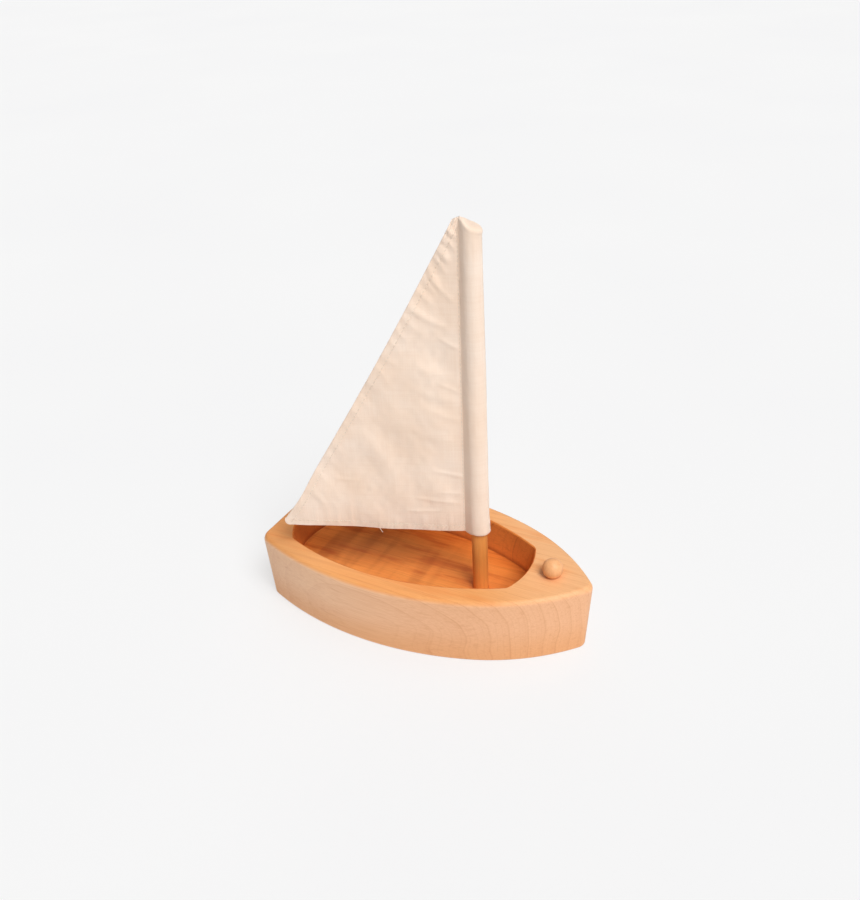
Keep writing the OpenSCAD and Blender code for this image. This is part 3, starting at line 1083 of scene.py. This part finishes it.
def sew(name, node, seam_points, extras=()):
    """A row of stitches through the cloth, on both its faces.

    seam_points is the seam's length, and a function that gives the thread's place at a distance along it;
    extras are loose ends.
    """
    all_points, all_faces = [], []
    first = 0

    def add(line, radius):
        nonlocal first
        points, faces = stitch_tube(line, radius)
        all_points.append(points)
        all_faces.extend(tuple(first + i for i in f) for f in faces)
        first += len(points)

    length, place = seam_points
    for start in np.arange(0.6, length - STITCH_PITCH, STITCH_PITCH):
        for side in (0, 1):
            shift = 0 if side == 0 else STITCH_PITCH / 2
            steps = np.linspace(0.12, 0.94, STITCH_POINTS) * STITCH_PITCH + start + shift
            if steps[-1] > length:
                continue
            lift = np.sin(np.linspace(0, math.pi, STITCH_POINTS)) ** 0.6
            lean = np.linspace(-0.22, 0.22, STITCH_POINTS)
            add(np.array([place(s, side, up, over) for s, up, over in zip(steps, lift, lean)]), THREAD_R)
    for line in extras:
        add(line, LOOSE_R)
    made = object_from(name, np.vstack(all_points), all_faces)
    made.data.materials.append(THREAD)
    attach(made, "sail")
    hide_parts(node)
    return made


def thread_place(u, z, side, up, back):
    """A stitch's point: on the starboard face, or on the outer port face, which lies back behind it."""
    surface = set_off(np.array(u), np.array(z))
    face = surface + CLOTH / 2 - 0.10 + 0.22 * up if side == 0 else surface - back + 0.10 - 0.22 * up
    return on_sail(u, float(face), z)


def along_line(line, inward, depth):
    """(length, place) of a stitched line that runs depth inside an edge."""
    path = line + inward * depth
    run = run_along(path)

    def place(s, side, up, over):
        u = np.interp(s, run, path[:, 0]) + over * np.interp(s, run, inward[:, 0])
        z = np.interp(s, run, path[:, 1]) + over * np.interp(s, run, inward[:, 1])
        return thread_place(u, z, side, up, 1.24)

    return run[-1], place


def sleeve_seam(aside):
    """(length, place) of the stitched line up the sleeve's seam, aside from it along the panel."""
    bottom, top = FOOT_Z + 1.2, 264.0

    def place(s, side, up, over):
        z = bottom + s
        return thread_place(seam_u(z) + aside + over * 0.6, z, side, up, 1.35)

    return top - bottom, place


def build_stitches():
    lines = [
        sew("sleeve_stitches", "sleeve_stitching", sleeve_seam(1.0)),
        sew("leech_stitches", "leech_stitching", along_line(*leech_line(), HEM - 0.6)),
    ]
    tail_u = 62.9  # where the loose end hangs from the foot
    tail = [
        (tail_u + 0.6 - 2.2 * t**1.4, 0.3 + 1.4 * t, FOOT_Z + 0.6 - 3.8 * t + 1.2 * t * t)
        for t in np.linspace(0, 1, 12)
    ]
    loose = np.array([on_sail(*p) for p in tail])
    lines.append(sew("foot_stitches", "foot_stitching", along_line(*foot_line(), HEM - 0.6), extras=[loose]))
    return lines


def build_sail():
    panel = build_panel()
    leech = edge_hem("leech_fold", "leech_hem", *leech_line(), CANVAS)
    foot = edge_hem("foot_fold", "foot_hem", *foot_line(), CANVAS)
    sleeve = build_sleeve()
    flap = build_flap()
    sleeve_rows, leech_rows, foot_rows = build_stitches()
    wide = (leech_u(np.array([FOOT_Z + CLEW_ROUND]))[0] + 1) * MM


# ---- studio


def build_floor():
    """A pale floor that fills the photograph's view. Low views show the backdrop above it."""
    g = Graph("pale_floor")
    cloudy = g.noise(g.place((3, 3, 3)), detail=2.0)
    fine = g.noise(g.place((400, 400, 400)), detail=2.0)
    ground = g.mix(g.spread(cloudy, 0.3, 0.7), rgb(150, 150, 150), rgb(147, 147, 148))
    paper = g.finish(
        Base_Color=ground,
        Roughness=0.9,
        Normal=g.bump(fine, 0.05, 0.1 * MM),
        Specular_IOR_Level=0.1,
        Emission_Color=(1, 1, 1, 1),
        Emission_Strength=0.605,
    )
    bpy.ops.mesh.primitive_grid_add(x_subdivisions=24, y_subdivisions=24, size=30)
    floor = bpy.context.object
    floor.name = "studio_floor"
    floor.data.materials.append(paper)


def build_backdrop():
    """A plain pale dome beyond the floor. It is seen, and lights and shades nothing."""
    g = Graph("pale_backdrop")
    cloudy = g.noise(g.place((0.2, 0.2, 0.2)), detail=1.0)
    ground = g.mix(cloudy, rgb(247, 247, 248), rgb(246, 247, 247))
    paper = g.finish(
        Base_Color=(0, 0, 0, 1), Emission_Color=ground, Emission_Strength=1.0, Specular_IOR_Level=0.0
    )
    tiers, sides, radius = 24, 64, 14.5
    rise = np.linspace(-0.04, math.pi / 2 - 0.02, tiers)[:, None]
    turn = np.linspace(0, 2 * math.pi, sides, endpoint=False)[None, :]
    level = np.cos(rise)
    dome = np.stack(np.broadcast_arrays(level * np.cos(turn), level * np.sin(turn), np.sin(rise)), -1)
    faces = grid_faces(tiers, sides, closed=True) + [tuple(range((tiers - 1) * sides, tiers * sides))]
    backdrop = object_from("studio_backdrop", dome.reshape(-1, 3) * radius, faces)
    backdrop.data.materials.append(paper)
    backdrop.visible_diffuse = backdrop.visible_glossy = backdrop.visible_shadow = False
    backdrop.visible_transmission = backdrop.visible_volume_scatter = False


def way_to(azimuth, elevation):
    """The way from the origin to a viewpoint, in degrees: azimuth 0 is to starboard, and 90 ahead."""
    a, e = math.radians(azimuth), math.radians(elevation)
    return Vector((math.sin(a) * math.cos(e), -math.cos(a) * math.cos(e), math.sin(e)))


def soft_sun(name, azimuth, elevation, spread, strength, tint):
    """A distant soft light that shines on the origin from a viewpoint."""
    lamp = bpy.data.lights.new(name, "SUN")
    lamp.energy = strength
    lamp.angle = math.radians(spread)
    lamp.color = tint
    made = linked(name, lamp)
    made.location = way_to(azimuth, elevation)
    made.rotation_euler = (-made.location).to_track_quat("-Z", "Y").to_euler()


def build_light():
    """White surroundings, a large soft light off the starboard bow, and weak ones above and behind."""
    world = bpy.data.worlds.new("studio")
    bpy.context.scene.world = world
    world.use_nodes = True
    background = world.node_tree.nodes["Background"]
    background.inputs["Color"].default_value = (1.0, 1.0, 1.0, 1.0)
    background.inputs["Strength"].default_value = 0.12
    soft_sun("key", 56, 52, 30, 2.85, (1.0, 1.0, 1.0))
    soft_sun("fill", 120, 72, 40, 0.50, (1.0, 1.0, 1.0))
    soft_sun("rear", 222, 36, 60, 0.36, (1.0, 0.99, 0.98))
    bpy.context.scene.view_settings.view_transform = "Standard"


def build_camera():
    """The photograph's viewpoint: above the deck, forward of the starboard beam, rolled a few degrees."""
    target = Vector((0.0020, 0, 0.1193))
    back = way_to(29.2, 30.9)
    distance = 0.6272
    roll = math.radians(-3.18)
    lens = bpy.data.cameras.new("camera")
    lens.lens = 40.76
    lens.sensor_width = 36
    lens.clip_start = 0.01
    camera = linked("camera", lens)
    upright = back.to_track_quat("Z", "Y")
    camera.rotation_euler = (upright.to_matrix() @ Matrix.Rotation(roll, 3, "Z")).to_euler()
    camera.location = target + back * distance
    bpy.context.scene.camera = camera


build_camera()
build_light()
build_floor()
build_backdrop()
build_hull()
build_mast()
build_peg()
build_sail()
